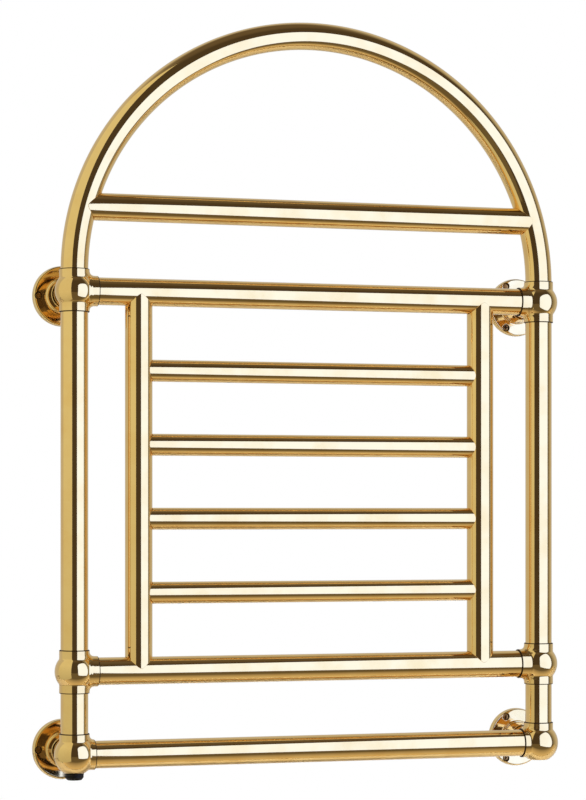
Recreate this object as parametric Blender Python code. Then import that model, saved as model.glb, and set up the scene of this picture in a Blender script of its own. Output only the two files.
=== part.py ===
"""Wall-hung towel warmer: an arched ladder of polished brass tube on ball joints and four wall flanges.

Metres. +X is to the right, -Y to the front and +Z up. The wall is the plane Y = 0, and the origin
is on it, midway between the two lower flanges.
"""

import math

import bmesh
import bpy
from mathutils import Vector

# Driving dimensions
STAND_OFF = 0.086
STILE_X = 0.314
POST_X = 0.231
TUBE_R = 0.0175
TUBE_WALL = 0.0015
RUNG_R = 0.014
GAP = 0.0003

# Heights of the horizontal tubes' axes above the bottom rail
LOWER_RAIL_Z = 0.1055
UPPER_RAIL_Z = 0.587
RUNG_FIRST_Z = 0.2043
RUNG_PITCH = 0.0944
RUNG_COUNT = 4
ARCH_CENTRE_Z = 0.611
ARCH_BAR_Z = 0.694
ARCH_BAR_INSET = 0.0025

# Ball joints
BALL_R = 0.0250
CORNER_BALL_R = 0.026
COLLAR_R = 0.01925
COLLAR_REACH = 0.0275
RAIL_COLLAR_REACH = 0.0300
CORNER_RAIL_COLLAR_REACH = 0.0258
COLLAR_CHAMFER = 0.0006
SOCKET_FLOOR = 0.019
PASSAGE_R = 0.012
PASSAGE_STEP = 0.0008
CORNER_FLAT = 0.0225
PORT_R = 0.0105
PORT_STEP = 0.0094
PORT_PASSAGE_R = 0.009

# Wall flanges
FLANGE_R = 0.03925
FLANGE_FACE = 0.0080
FLANGE_ROUND = 0.0026
RING_R = 0.0228
BOSS_BASE_R = 0.0216
BOSS_TIP_R = 0.0194
BOSS_REACH = 0.031
STEM_SEAT = 0.0045
SCREW_PITCH_R = 0.0322
SCREW_ANGLES = (0.0, 120.0, 240.0)
SCREW_HEAD_R = 0.0040
SCREW_HEAD_DEPTH = 0.0024
SCREW_SHANK_R = 0.0020
SCREW_SINK = 0.0012
SCREW_TIP = 0.0062
SCREW_EDGE = 0.0003
HOLE_PAST = 0.006
GRUB_R = 0.0019
GRUB_HEIGHT = 0.0155

# Heating element and plugs, in the ports under the two corner joints
PLUG_R = PORT_R - GAP
PLUG_TOP = 0.0124
SEAL_INNER_R = 0.0065
ELEMENT_R = 0.0040
ELEMENT_TOP_Z = 0.430
GLAND_R = 0.0121
GLAND_TIP_R = 0.0084
GLAND_HEIGHT = 0.0085
CABLE_HOLE_R = 0.0032

SIDES = 16
FLANGE_SIDES = 24
SMALL_SIDES = 12
ARCH_STEPS = 24

RIGHT = Vector((1.0, 0.0, 0.0))
LEFT = -RIGHT
BACK = Vector((0.0, 1.0, 0.0))
FRONT = -BACK
UP = Vector((0.0, 0.0, 1.0))
DOWN = -UP


def clear_scene():
    for obj in list(bpy.data.objects):
        bpy.data.objects.remove(obj)


def finish(name, colour, roughness, metallic):
    """A Principled material of one colour."""
    material = bpy.data.materials.new(name)
    material.use_nodes = True
    shader = material.node_tree.nodes["Principled BSDF"]
    shader.inputs["Base Color"].default_value = (*colour, 1.0)
    shader.inputs["Roughness"].default_value = roughness
    shader.inputs["Metallic"].default_value = metallic
    return material


def add_object(name, bm, material=None):
    """Turns a bmesh into a named object, shaded smooth where the surface is round."""
    bmesh.ops.recalc_face_normals(bm, faces=bm.faces)
    mesh = bpy.data.meshes.new(name)
    bm.to_mesh(mesh)
    bm.free()
    mesh.shade_smooth()
    mesh.set_sharp_from_angle(angle=math.radians(35))
    obj = bpy.data.objects.new(name, mesh)
    bpy.context.scene.collection.objects.link(obj)
    if material:
        mesh.materials.append(material)
    return obj


def ring(bm, centre, side, up, radius, count):
    """A loop of vertices on a circle spanned by the unit vectors side and up."""
    loop = []
    for i in range(count):
        angle = 2 * math.pi * i / count
        loop.append(bm.verts.new(centre + radius * (math.cos(angle) * side + math.sin(angle) * up)))
    return loop


def bridge(bm, first, second):
    count = len(first)
    for i in range(count):
        j = (i + 1) % count
        bm.faces.new((first[i], first[j], second[j], second[i]))


def pipe(name, stations, outer_r, inner_r, material):
    """A tube swept through stations, each a centre and two unit vectors across it. inner_r 0 is a bar."""
    bm = bmesh.new()
    outer = [ring(bm, *station, outer_r, SIDES) for station in stations]
    for first, second in zip(outer, outer[1:]):
        bridge(bm, first, second)
    if inner_r:
        inner = [ring(bm, *station, inner_r, SIDES) for station in stations]
        for first, second in zip(inner, inner[1:]):
            bridge(bm, first, second)
        bridge(bm, outer[0], inner[0])
        bridge(bm, outer[-1], inner[-1])
    else:
        bm.faces.new(outer[0])
        bm.faces.new(outer[-1])
    return add_object(name, bm, material)


def straight(start, end):
    """The two stations of a straight tube along an axis of the frame."""
    along = (end - start).normalized()
    side = UP if abs(along.x) > 0.5 else RIGHT
    across = along.cross(side)
    return [(start, side, across), (end, side, across)]


def turned(name, profile, material, sides=SIDES, closed=False):
    """Revolves (radius, height) points about local Z. A closed profile makes a ring."""
    bm = bmesh.new()
    verts = [bm.verts.new((radius, 0.0, height)) for radius, height in profile]
    edges = [bm.edges.new(pair) for pair in zip(verts, verts[1:])]
    if closed:
        edges.append(bm.edges.new((verts[-1], verts[0])))
    bmesh.ops.spin(
        bm,
        geom=verts + edges,
        cent=(0, 0, 0),
        axis=(0, 0, 1),
        angle=2 * math.pi,
        steps=sides,
        use_merge=True,
    )
    bmesh.ops.remove_doubles(bm, verts=bm.verts, dist=1e-6)
    return add_object(name, bm, material)


def place(obj, location, direction):
    """Puts the object at location, with its local Z along direction."""
    obj.location = location
    obj.rotation_mode = "QUATERNION"
    obj.rotation_quaternion = UP.rotation_difference(direction)
    return obj


def prism(name, radius, low, high, sides, material=None):
    """A straight bar with a regular outline, along local Z."""
    bm = bmesh.new()
    loops = [ring(bm, UP * height, RIGHT, BACK, radius, sides) for height in (low, high)]
    bridge(bm, *loops)
    for loop in loops:
        bm.faces.new(loop)
    return add_object(name, bm, material)


def combine(obj, other, operation):
    """Adds an exact Boolean to obj, with the other object as a hidden helper."""
    other.hide_render = True
    other.display_type = "WIRE"
    modifier = obj.modifiers.new(f"{operation.lower()}_{len(obj.modifiers)}", "BOOLEAN")
    modifier.operation = operation
    modifier.solver = "EXACT"
    modifier.object = other


def arch_stations():
    """A half circle between the stiles, with a short straight leg down into each upper ball joint."""
    foot_z = UPPER_RAIL_Z + SOCKET_FLOOR + GAP
    stations = [(Vector((-STILE_X, -STAND_OFF, foot_z)), RIGHT, BACK)]
    for step in range(ARCH_STEPS + 1):
        angle = math.pi * (1 - step / ARCH_STEPS)
        outward = Vector((math.cos(angle), 0.0, math.sin(angle)))
        centre = Vector((0.0, -STAND_OFF, ARCH_CENTRE_Z)) + STILE_X * outward
        stations.append((centre, -outward, BACK))
    stations.append((Vector((STILE_X, -STAND_OFF, foot_z)), LEFT, BACK))
    return stations


def make_frame_tubes(brass):
    """Stiles, rails, arch and posts, all of the same tube, and the thinner rungs."""
    bore_r = TUBE_R - TUBE_WALL
    inset = SOCKET_FLOOR + GAP
    pipe("arch_tube", arch_stations(), TUBE_R, bore_r, brass)

    for side, x in (("left", -STILE_X), ("right", STILE_X)):
        for level, low_z, high_z in (("lower", 0.0, LOWER_RAIL_Z), ("upper", LOWER_RAIL_Z, UPPER_RAIL_Z)):
            low = Vector((x, -STAND_OFF, low_z + inset))
            high = Vector((x, -STAND_OFF, high_z - inset))
            pipe(f"stile_{level}_{side}", straight(low, high), TUBE_R, bore_r, brass)

    for name, z in (("bottom_rail", 0.0), ("lower_rail", LOWER_RAIL_Z), ("upper_rail", UPPER_RAIL_Z)):
        left = Vector((inset - STILE_X, -STAND_OFF, z))
        right = Vector((STILE_X - inset, -STAND_OFF, z))
        pipe(name, straight(left, right), TUBE_R, bore_r, brass)

    # The posts' ends are coped to saddle the rails.
    for side, x in (("left", -POST_X), ("right", POST_X)):
        low = Vector((x, -STAND_OFF, LOWER_RAIL_Z))
        high = Vector((x, -STAND_OFF, UPPER_RAIL_Z))
        post = pipe(f"post_{side}", straight(low, high), TUBE_R, bore_r, brass)
        for level, z in (("foot", LOWER_RAIL_Z), ("head", UPPER_RAIL_Z)):
            centre = Vector((x, -STAND_OFF, z))
            reach = 2 * TUBE_R * RIGHT
            cutter = pipe(
                f"cope_post_{level}_{side}", straight(centre - reach, centre + reach), TUBE_R + GAP, 0, None
            )
            combine(post, cutter, "DIFFERENCE")

    # The rungs' ends are coped to the posts.
    post_cutters = []
    for side, x in (("left", -POST_X), ("right", POST_X)):
        low = Vector((x, -STAND_OFF, LOWER_RAIL_Z))
        high = Vector((x, -STAND_OFF, UPPER_RAIL_Z))
        post_cutters.append(pipe(f"cope_rungs_{side}", straight(low, high), TUBE_R + GAP, 0, None))
    for number in range(RUNG_COUNT):
        z = RUNG_FIRST_Z + number * RUNG_PITCH
        ends = straight(Vector((-POST_X, -STAND_OFF, z)), Vector((POST_X, -STAND_OFF, z)))
        rung = pipe(f"rung_{number + 1}", ends, RUNG_R, RUNG_R - TUBE_WALL, brass)
        for cutter in post_cutters:
            combine(rung, cutter, "DIFFERENCE")

    # The bar across the arch is coped to the arch.
    half = math.sqrt(STILE_X**2 - (ARCH_BAR_Z - ARCH_CENTRE_Z) ** 2) - ARCH_BAR_INSET
    ends = straight(Vector((-half, -STAND_OFF, ARCH_BAR_Z)), Vector((half, -STAND_OFF, ARCH_BAR_Z)))
    arch_bar = pipe("arch_bar", ends, TUBE_R, bore_r, brass)
    combine(arch_bar, pipe("cope_arch", arch_stations(), TUBE_R + GAP, 0, None), "DIFFERENCE")


def make_ball_joint(name, centre, radius, tube_ports, stem_ports, rail_reach, brass):
    """A cast ball with a collar and a socket for each tube. Tube sockets open into a common passage."""
    bm = bmesh.new()
    bmesh.ops.create_uvsphere(bm, u_segments=SIDES, v_segments=SIDES // 2, radius=radius)
    ball = add_object(name, bm, brass)
    ball.location = centre
    ports = tube_ports + stem_ports
    socket_r = TUBE_R + GAP
    past_end = max(COLLAR_REACH, rail_reach) + BALL_R / 2
    # Each port starts a little further past the centre, and bores a little narrower, than the last.
    for number, direction in enumerate(ports):
        start = -PASSAGE_STEP * (number + 1)
        reach = rail_reach if direction.x else COLLAR_REACH
        collar_profile = (
            (0.0, start),
            (COLLAR_R, start),
            (COLLAR_R, reach - COLLAR_CHAMFER),
            (COLLAR_R - COLLAR_CHAMFER, reach),
            (0.0, reach),
        )
        collar = turned(f"collar_{name}_{number}", collar_profile, None)
        combine(ball, place(collar, centre, direction), "UNION")
    for number, direction in enumerate(ports):
        socket_profile = [(socket_r, SOCKET_FLOOR), (socket_r, past_end), (0.0, past_end)]
        start = -PASSAGE_R / 3 - PASSAGE_STEP * number
        passage_r = PASSAGE_R - PASSAGE_STEP * number
        passage_profile = [(0.0, start), (passage_r, start), (passage_r, SOCKET_FLOOR)]
        blind_profile = [(0.0, SOCKET_FLOOR)]
        start_profile = passage_profile if direction in tube_ports else blind_profile
        socket = turned(f"socket_{name}_{number}", start_profile + socket_profile, None)
        combine(ball, place(socket, centre, direction), "DIFFERENCE")
    return ball


def make_joints(brass):
    """Six ball joints. The two at the bottom corners have a flat underside with a threaded port."""
    for side, x, inward in (("left", -STILE_X, RIGHT), ("right", STILE_X, LEFT)):
        upper = Vector((x, -STAND_OFF, UPPER_RAIL_Z))
        middle = Vector((x, -STAND_OFF, LOWER_RAIL_Z))
        corner = Vector((x, -STAND_OFF, 0.0))
        cross = [UP, DOWN, inward]
        make_ball_joint(f"ball_joint_upper_{side}", upper, BALL_R, cross, [BACK], RAIL_COLLAR_REACH, brass)
        make_ball_joint(f"ball_joint_middle_{side}", middle, BALL_R, cross, [], RAIL_COLLAR_REACH, brass)
        ball = make_ball_joint(
            f"ball_joint_corner_{side}",
            corner,
            CORNER_BALL_R,
            [UP, inward],
            [BACK],
            CORNER_RAIL_COLLAR_REACH,
            brass,
        )
        underside = turned(
            f"underside_{side}",
            (
                (0.0, PORT_STEP - PORT_R),
                (PORT_PASSAGE_R, PORT_STEP - PORT_R),
                (PORT_PASSAGE_R, PORT_STEP),
                (PORT_R, PORT_STEP),
                (PORT_R, CORNER_FLAT),
                (2 * CORNER_BALL_R, CORNER_FLAT),
                (2 * CORNER_BALL_R, 2 * CORNER_BALL_R),
                (0.0, 2 * CORNER_BALL_R),
            ),
            None,
        )
        combine(ball, place(underside, corner, DOWN), "DIFFERENCE")


def flange_profile():
    """Half section of a flange, as radius and height above the wall, from the back to the stem's seat."""
    points = [(0.0, 0.0), (FLANGE_R - 0.0008, 0.0), (FLANGE_R, 0.0008)]
    round_centre_r = FLANGE_R - FLANGE_ROUND
    round_centre_h = FLANGE_FACE + 0.0005 - FLANGE_ROUND
    for angle in (0, 30, 60, 90):
        across = FLANGE_ROUND * math.cos(math.radians(angle))
        up = FLANGE_ROUND * math.sin(math.radians(angle))
        points.append((round_centre_r + across, round_centre_h + up))
    points += [
        (RING_R, FLANGE_FACE - 0.0004),
        (RING_R, FLANGE_FACE + 0.0020),
        (RING_R - 0.0006, FLANGE_FACE + 0.0028),
        (BOSS_BASE_R, FLANGE_FACE + 0.0034),
        (BOSS_TIP_R, BOSS_REACH - 0.0008),
        (BOSS_TIP_R - 0.0006, BOSS_REACH),
        (TUBE_R + GAP, BOSS_REACH),
        (TUBE_R + GAP, STEM_SEAT),
        (0.0, STEM_SEAT),
    ]
    return points


def screw_profile(swell, past):
    """Half section of a countersunk screw, its top on height 0. A hole is swollen and runs past it."""
    shank_r = SCREW_SHANK_R + swell
    head_r = SCREW_HEAD_R + swell
    return (
        (0.0, -SCREW_TIP - past),
        (shank_r, -SCREW_TIP - past),
        (shank_r, -SCREW_HEAD_DEPTH),
        (head_r, -SCREW_EDGE),
        (head_r, past),
        (0.0, past),
    )


def make_flange(side, level, centre, outward, grub_direction, brass, steel):
    """One wall bracket: flange, three countersunk screws, the stem to the ball joint and its grub screw."""
    tag = f"{level}_{side}"
    flange = place(turned(f"wall_flange_{tag}", flange_profile(), brass, FLANGE_SIDES), centre, FRONT)

    for number, angle in enumerate(SCREW_ANGLES):
        turn = math.radians(angle)
        offset = SCREW_PITCH_R * (math.cos(turn) * outward + math.sin(turn) * UP)
        seat = centre + offset + (FLANGE_FACE - SCREW_SINK) * FRONT
        hole = turned(f"screw_hole_{tag}_{number}", screw_profile(GAP, HOLE_PAST), None, SMALL_SIDES)
        combine(flange, place(hole, seat, FRONT), "DIFFERENCE")
        screw = turned(f"wall_screw_{tag}_{number + 1}", screw_profile(0.0, 0.0), brass, SMALL_SIDES)
        place(screw, seat, FRONT)
        for slot_number, slot_turn in enumerate((45, 135)):
            slot = make_slot(f"slot_{tag}_{number}_{slot_number}", slot_turn)
            slot.location = seat
            combine(screw, slot, "DIFFERENCE")

    stem_start = centre + (STEM_SEAT + GAP) * FRONT
    stem_end = centre + (STAND_OFF - SOCKET_FLOOR - GAP) * FRONT
    pipe(f"wall_stem_{tag}", straight(stem_start, stem_end), TUBE_R, 0, brass)

    grub_base = centre + GRUB_HEIGHT * FRONT
    hole = prism(f"grub_hole_{tag}", GRUB_R + GAP, TUBE_R - 0.001, RING_R + 0.002, SMALL_SIDES)
    combine(flange, place(hole, grub_base, grub_direction), "DIFFERENCE")
    grub = prism(f"grub_screw_{tag}", GRUB_R, TUBE_R + GAP, BOSS_TIP_R + 0.0006, SMALL_SIDES, steel)
    key = prism(f"grub_key_{tag}", GRUB_R / 2, BOSS_TIP_R - 0.001, RING_R, 6)
    combine(place(grub, grub_base, grub_direction), place(key, grub_base, grub_direction), "DIFFERENCE")


def make_slot(name, turn):
    """One blade of a screw's cross recess: a thin box across the head, turned about the screw's axis."""
    half_length = 0.6 * SCREW_HEAD_R
    half_width = 0.12 * SCREW_HEAD_R
    depth = 0.45 * SCREW_HEAD_DEPTH
    bm = bmesh.new()
    bmesh.ops.create_cube(bm, size=2.0)
    for vert in bm.verts:
        vert.co = Vector((vert.co.x * half_length, vert.co.y * depth, vert.co.z * half_width))
    slot = add_object(name, bm)
    slot.rotation_euler = (0.0, math.radians(turn), 0.0)
    return slot


def make_flanges(brass, steel):
    for side, x, outward in (("left", -STILE_X, LEFT), ("right", STILE_X, RIGHT)):
        for level, z in (("lower", 0.0), ("upper", UPPER_RAIL_Z)):
            grub_direction = outward if (side, level) == ("left", "lower") else DOWN
            make_flange(side, level, Vector((x, 0.0, z)), outward, grub_direction, brass, steel)


def make_element(brass, nickel, rubber, black):
    """The heating element in the left stile, its plug, seal and black gland, and the right-hand plug."""
    plug_low = -CORNER_FLAT + GAP
    seal_profile = (
        (SEAL_INNER_R, -PLUG_TOP + GAP),
        (PLUG_R, -PLUG_TOP + GAP),
        (PLUG_R, -PORT_STEP - GAP),
        (SEAL_INNER_R, -PORT_STEP - GAP),
    )
    plug_profile = ((0.0, plug_low), (PLUG_R, plug_low), (PLUG_R, -PLUG_TOP), (0.0, -PLUG_TOP))
    left = Vector((-STILE_X, -STAND_OFF, 0.0))
    right = Vector((STILE_X, -STAND_OFF, 0.0))
    for tag, centre in (("element", left), ("blanking", right)):
        place(turned(f"{tag}_plug", plug_profile, brass), centre, UP)
        place(turned(f"{tag}_seal", seal_profile, rubber, closed=True), centre, UP)

    key = prism("blanking_key", 0.45 * PLUG_R, -CORNER_FLAT - 0.002, -CORNER_FLAT + 0.005, 6)
    combine(bpy.data.objects["blanking_plug"], place(key, right, UP), "DIFFERENCE")

    rod_low = -PLUG_TOP + GAP
    rod_profile = (
        (0.0, rod_low),
        (ELEMENT_R, rod_low),
        (ELEMENT_R, ELEMENT_TOP_Z - ELEMENT_R),
        (0.7 * ELEMENT_R, ELEMENT_TOP_Z - 0.3 * ELEMENT_R),
        (0.0, ELEMENT_TOP_Z),
    )
    place(turned("heating_rod", rod_profile, nickel, SMALL_SIDES), left, UP)

    gland_top = -CORNER_FLAT - GAP
    gland_low = gland_top - GLAND_HEIGHT
    gland_profile = (
        (0.0, gland_top),
        (GLAND_R, gland_top),
        (GLAND_R, gland_top - 0.4 * GLAND_HEIGHT),
        (GLAND_R - 0.0012, gland_top - 0.75 * GLAND_HEIGHT),
        (GLAND_TIP_R, gland_low),
        (CABLE_HOLE_R, gland_low),
        (CABLE_HOLE_R, gland_low + 0.7 * GLAND_HEIGHT),
        (0.0, gland_low + 0.7 * GLAND_HEIGHT),
    )
    place(turned("cable_gland", gland_profile, black), left, UP)


def main():
    clear_scene()
    brass = finish("polished_brass", (0.83, 0.62, 0.30), 0.06, 1.0)
    steel = finish("dark_steel", (0.20, 0.19, 0.18), 0.35, 1.0)
    nickel = finish("nickel_sheath", (0.60, 0.58, 0.55), 0.30, 1.0)
    rubber = finish("seal_rubber", (0.03, 0.03, 0.03), 0.80, 0.0)
    black = finish("black_plastic", (0.02, 0.018, 0.018), 0.45, 0.0)
    make_frame_tubes(brass)
    make_joints(brass)
    make_flanges(brass, steel)
    make_element(brass, nickel, rubber, black)


main()
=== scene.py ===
"""Looks of the arched brass towel warmer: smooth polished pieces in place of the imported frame's solids."""

import math

import bmesh
import bpy
import numpy as np
from mathutils import Matrix, Vector


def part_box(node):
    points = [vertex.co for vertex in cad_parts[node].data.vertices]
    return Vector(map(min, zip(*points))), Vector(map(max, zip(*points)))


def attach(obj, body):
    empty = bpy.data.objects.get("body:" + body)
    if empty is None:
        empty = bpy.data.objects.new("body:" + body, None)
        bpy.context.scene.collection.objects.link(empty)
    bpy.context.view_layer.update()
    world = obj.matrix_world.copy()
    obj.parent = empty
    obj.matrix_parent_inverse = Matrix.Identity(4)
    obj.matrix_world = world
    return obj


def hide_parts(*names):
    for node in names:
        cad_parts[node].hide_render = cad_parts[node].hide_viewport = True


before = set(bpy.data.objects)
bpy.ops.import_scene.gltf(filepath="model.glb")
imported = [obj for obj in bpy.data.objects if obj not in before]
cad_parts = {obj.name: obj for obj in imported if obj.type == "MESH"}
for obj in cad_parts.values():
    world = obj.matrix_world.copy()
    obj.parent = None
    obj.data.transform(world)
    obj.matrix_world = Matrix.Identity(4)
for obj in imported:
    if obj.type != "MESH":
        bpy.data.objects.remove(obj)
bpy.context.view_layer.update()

RIGHT = Vector((1.0, 0.0, 0.0))
LEFT = -RIGHT
BACK = Vector((0.0, 1.0, 0.0))
FRONT = -BACK
UP = Vector((0.0, 0.0, 1.0))
DOWN = -UP
SIDES = (("left", LEFT), ("right", RIGHT))

# Smoothness of the pieces
TUBE_SIDES = 96
ARCH_STEPS = 160
FLANGE_SIDES = 144
SMALL_SIDES = 48
COLLAR_ROWS = 12
COLLAR_ZONE = math.radians(56)


def middle(node):
    low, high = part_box(node)
    return (low + high) / 2


def extent(node):
    low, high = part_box(node)
    return high - low


# Sizes read from the frame, in metres
TUBE_R = extent("stile_upper_left").x / 2
RUNG_R = extent("rung_1").z / 2
STILE_X = middle("stile_upper_right").x
POST_X = middle("post_right").x
AXIS_Y = middle("stile_upper_right").y
ARCH_CENTRE_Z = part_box("arch_tube")[1].z - STILE_X - TUBE_R
BALL_R = AXIS_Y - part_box("ball_joint_middle_left")[0].y
CORNER_BALL_R = AXIS_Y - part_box("ball_joint_corner_left")[0].y
LEVELS = {
    "corner": middle("bottom_rail").z,
    "middle": middle("lower_rail").z,
    "upper": middle("upper_rail").z,
}
COLLAR_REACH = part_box("ball_joint_upper_left")[1].z - LEVELS["upper"]
RAIL_REACHES = {level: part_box(f"ball_joint_{level}_left")[1].x + STILE_X for level in LEVELS}
CORNER_FLAT = LEVELS["corner"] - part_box("ball_joint_corner_left")[0].z
FLANGE_R = extent("wall_flange_lower_left").z / 2
BOSS_REACH = extent("wall_flange_lower_left").y
SCREW_HEAD_R = extent("wall_screw_lower_left_1").z / 2

# Details of the tubes and castings, in metres
GAP = 0.0003
TUBE_WALL = 0.0015
TUBE_END_ROUND = 0.0004
COLLAR_R = 0.01925
COLLAR_ROUND = 0.0012
# Fillet between two collars, and the distance from the ball over which it grows to that
COLLAR_FILLET = 0.0070
COLLAR_FILLET_RAMP = 0.0020
BALL_FILLET = 0.0008
SOCKET_FLOOR = 0.019
FLANGE_FACE = 0.0080
RING_R = 0.0228
BEAD_RISE = 0.0030
BOSS_BASE_R = 0.0216
BOSS_TIP_R = 0.0194
STEM_SEAT = 0.0045
PORT_R = 0.0105
PORT_STEP = 0.0094
PORT_EDGE = 0.0004
SCREW_SHANK_R = 0.0020
SCREW_BORE_R = 0.0026
GRUB_BORE_R = 0.0022

# A collar's mouth gets the painted crevice shade where its normal leans outward by more than this
MOUTH_TURN = 0.25

SCREWS_PER_FLANGE = 3
# Each screw's cross stands at its own angle, in radians
FIRST_SCREW_TURN = 0.7
NEXT_SCREW_TURN = 1.9
RUNG_COUNT = 4
GLAND_FLUTES = 24


# A face's material: the piece's own, or a dull dark brown that paints shade into seams, bores and recesses
POLISHED = 0
CREVICE = 1


def add_two_materials(mesh):
    """Leaves room for the two materials, the piece's own and the painted crevice shade, which settle() fills
    in.
    """
    for _ in (POLISHED, CREVICE):
        mesh.materials.append(None)


class Shape:
    """Faces with a known normal at each corner. Corners that fall together become one vertex."""

    def __init__(self):
        self.index = {}
        self.points = []
        self.grain = []
        self.faces = []
        self.normals = []
        self.kinds = []

    def corner(self, point, grain):
        key = tuple(round(value, 7) for value in point)
        if key not in self.index:
            self.index[key] = len(self.points)
            self.points.append(Vector(point))
            self.grain.append(grain)
        return self.index[key]

    def face(self, points, normals, grain=None, kind=POLISHED):
        """Adds a face, turned so that it faces the way its normals do."""
        grain = grain or points
        corners = []
        for point, normal, mark in zip(points, normals, grain):
            number = self.corner(point, mark)
            if all(number != other for other, _ in corners):
                corners.append((number, normal))
        if len(corners) < 3:
            return
        flat = Vector()
        for (a, _), (b, _) in zip(corners, corners[1:] + corners[:1]):
            flat += self.points[a].cross(self.points[b])
        if flat.dot(sum((normal for _, normal in corners), Vector())) < 0:
            corners.reverse()
        self.faces.append([number for number, _ in corners])
        self.kinds.append(kind)
        self.normals += [normal for _, normal in corners]

    def strip(self, first, second, kind=POLISHED):
        """Faces between two closed loops of (point, normal, grain)."""
        count = len(first)
        for i in range(count):
            j = (i + 1) % count
            quad = (first[i], first[j], second[j], second[i])
            self.face([q[0] for q in quad], [q[1] for q in quad], [q[2] for q in quad], kind)

    def build(self, name):
        mesh = bpy.data.meshes.new(name)
        mesh.from_pydata(self.points, [], self.faces)
        add_two_materials(mesh)
        mesh.polygons.foreach_set("material_index", self.kinds)
        mesh.shade_smooth()
        mesh.normals_split_custom_set([tuple(n.normalized()) for n in self.normals])
        grain = mesh.attributes.new("grain", "FLOAT_VECTOR", "POINT")
        grain.data.foreach_set("vector", [value for mark in self.grain for value in mark])
        obj = bpy.data.objects.new(name, mesh)
        bpy.context.scene.collection.objects.link(obj)
        return obj


def across(axis):
    """Two unit vectors square to the axis and to each other."""
    side = UP if abs(axis.z) < 0.5 else RIGHT
    return side, axis.cross(side)


def outline(corners, steps=4):
    """Rounds the corners (radius, height, rounding) of a half section.

    Gives (radius, height, normal along the radius, normal along the height).
    """
    samples = []
    count = len(corners)
    for i, (radius, height, rounding) in enumerate(corners):
        here = Vector((radius, height))
        before = (here - Vector(corners[i - 1][:2])).normalized() if i else None
        after = (Vector(corners[i + 1][:2]) - here).normalized() if i < count - 1 else None
        normals = [Vector((way.y, -way.x)) for way in (before, after) if way]
        if before is None or after is None or not rounding:
            samples += [(radius, height, *normal) for normal in normals]
            continue
        turn = before.x * after.y - before.y * after.x
        bend = before.angle(after)
        reach = rounding * math.tan(bend / 2)
        sign = 1 if turn > 0 else -1
        centre = here - before * reach - normals[0] * rounding * sign
        start = math.atan2(normals[0].y, normals[0].x)
        for step in range(steps + 1):
            angle = start + sign * bend * step / steps
            normal = Vector((math.cos(angle), math.sin(angle)))
            point = centre + normal * rounding * sign
            samples.append((point.x, point.y, *normal))
    return samples


def turned_loop(origin, axis, radius, height, normal_r, normal_h, count=TUBE_SIDES):
    """One ring of (point, normal, grain) round the axis."""
    side, up = across(axis)
    loop = []
    for i in range(count):
        angle = 2 * math.pi * i / count
        outward = math.cos(angle) * side + math.sin(angle) * up
        mark = (height, radius * math.cos(angle), radius * math.sin(angle))
        loop.append((origin + radius * outward + height * axis, normal_r * outward + normal_h * axis, mark))
    return loop


def revolve(shape, samples, origin, axis, count=TUBE_SIDES, swell=None, hidden=None):
    """Turns a half section about the axis. swell(angle, radius, height) may change the radius.

    hidden(radius, height) tells which faces get the painted crevice shade.
    """
    side, up = across(axis)
    loops = []
    run = 0.0
    for number, (radius, height, normal_r, normal_h) in enumerate(samples):
        if number:
            run += math.hypot(radius - samples[number - 1][0], height - samples[number - 1][1])
        loop = []
        for i in range(count):
            angle = 2 * math.pi * i / count
            outward = math.cos(angle) * side + math.sin(angle) * up
            here = radius + (swell(angle, radius, height) if swell else 0.0)
            normal = normal_r * outward + normal_h * axis
            mark = (run, radius * math.cos(angle), radius * math.sin(angle))
            loop.append((origin + here * outward + height * axis, normal, mark))
        loops.append(loop)
    for number, (first, second) in enumerate(zip(loops, loops[1:])):
        start, end = samples[number][:2], samples[number + 1][:2]
        if math.dist(start, end) > 1e-7:
            shade_painted = hidden and hidden(*start) and hidden(*end)
            shape.strip(first, second, CREVICE if shade_painted else POLISHED)
    return shape


def ring_samples(outer, inner, low, high, rounding):
    """Half section of a tube's length, as a closed outline."""
    start = ((inner + outer) / 2, low, 0.0)
    corners = [
        start,
        (outer, low, rounding),
        (outer, high, rounding),
        (inner, high, rounding),
        (inner, low, rounding),
        start,
    ]
    return outline(corners, 3)


def straight_tube(name, node, axis, radius):
    """A tube along an axis of the frame, between the ends of its node."""
    centre = middle(node)
    half = abs(extent(node).dot(axis)) / 2
    samples = ring_samples(radius, radius - TUBE_WALL, -half, half, TUBE_END_ROUND)
    return revolve(Shape(), samples, centre, axis).build(name)


def swept_arch(name):
    """The half circle between the upper ball joints, with a short leg at each end."""
    foot_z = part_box("arch_tube")[0].z
    stations = [(Vector((-STILE_X, AXIS_Y, foot_z)), LEFT, 0.0)]
    leg = ARCH_CENTRE_Z - foot_z
    for step in range(ARCH_STEPS + 1):
        angle = math.pi * (1 - step / ARCH_STEPS)
        outward = Vector((math.cos(angle), 0.0, math.sin(angle)))
        centre = Vector((0.0, AXIS_Y, ARCH_CENTRE_Z)) + STILE_X * outward
        stations.append((centre, outward, leg + STILE_X * math.pi * step / ARCH_STEPS))
    last = stations[-1][2] + leg
    stations.append((Vector((STILE_X, AXIS_Y, foot_z)), RIGHT, last))
    shape = Shape()
    walls = []
    for radius, sign in ((TUBE_R, 1), (TUBE_R - TUBE_WALL, -1)):
        loops = []
        for centre, outward, run in stations:
            loop = []
            for i in range(TUBE_SIDES):
                angle = 2 * math.pi * i / TUBE_SIDES
                way = math.cos(angle) * outward + math.sin(angle) * BACK
                mark = (run, radius * math.cos(angle), radius * math.sin(angle))
                loop.append((centre + radius * way, sign * way, mark))
            loops.append(loop)
        for first, second in zip(loops, loops[1:]):
            shape.strip(first, second)
        walls.append(loops)
    for end in (0, -1):
        rims = [[(point, DOWN, mark) for point, _, mark in wall[end]] for wall in walls]
        shape.strip(*rims)
    return shape.build(name)


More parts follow.
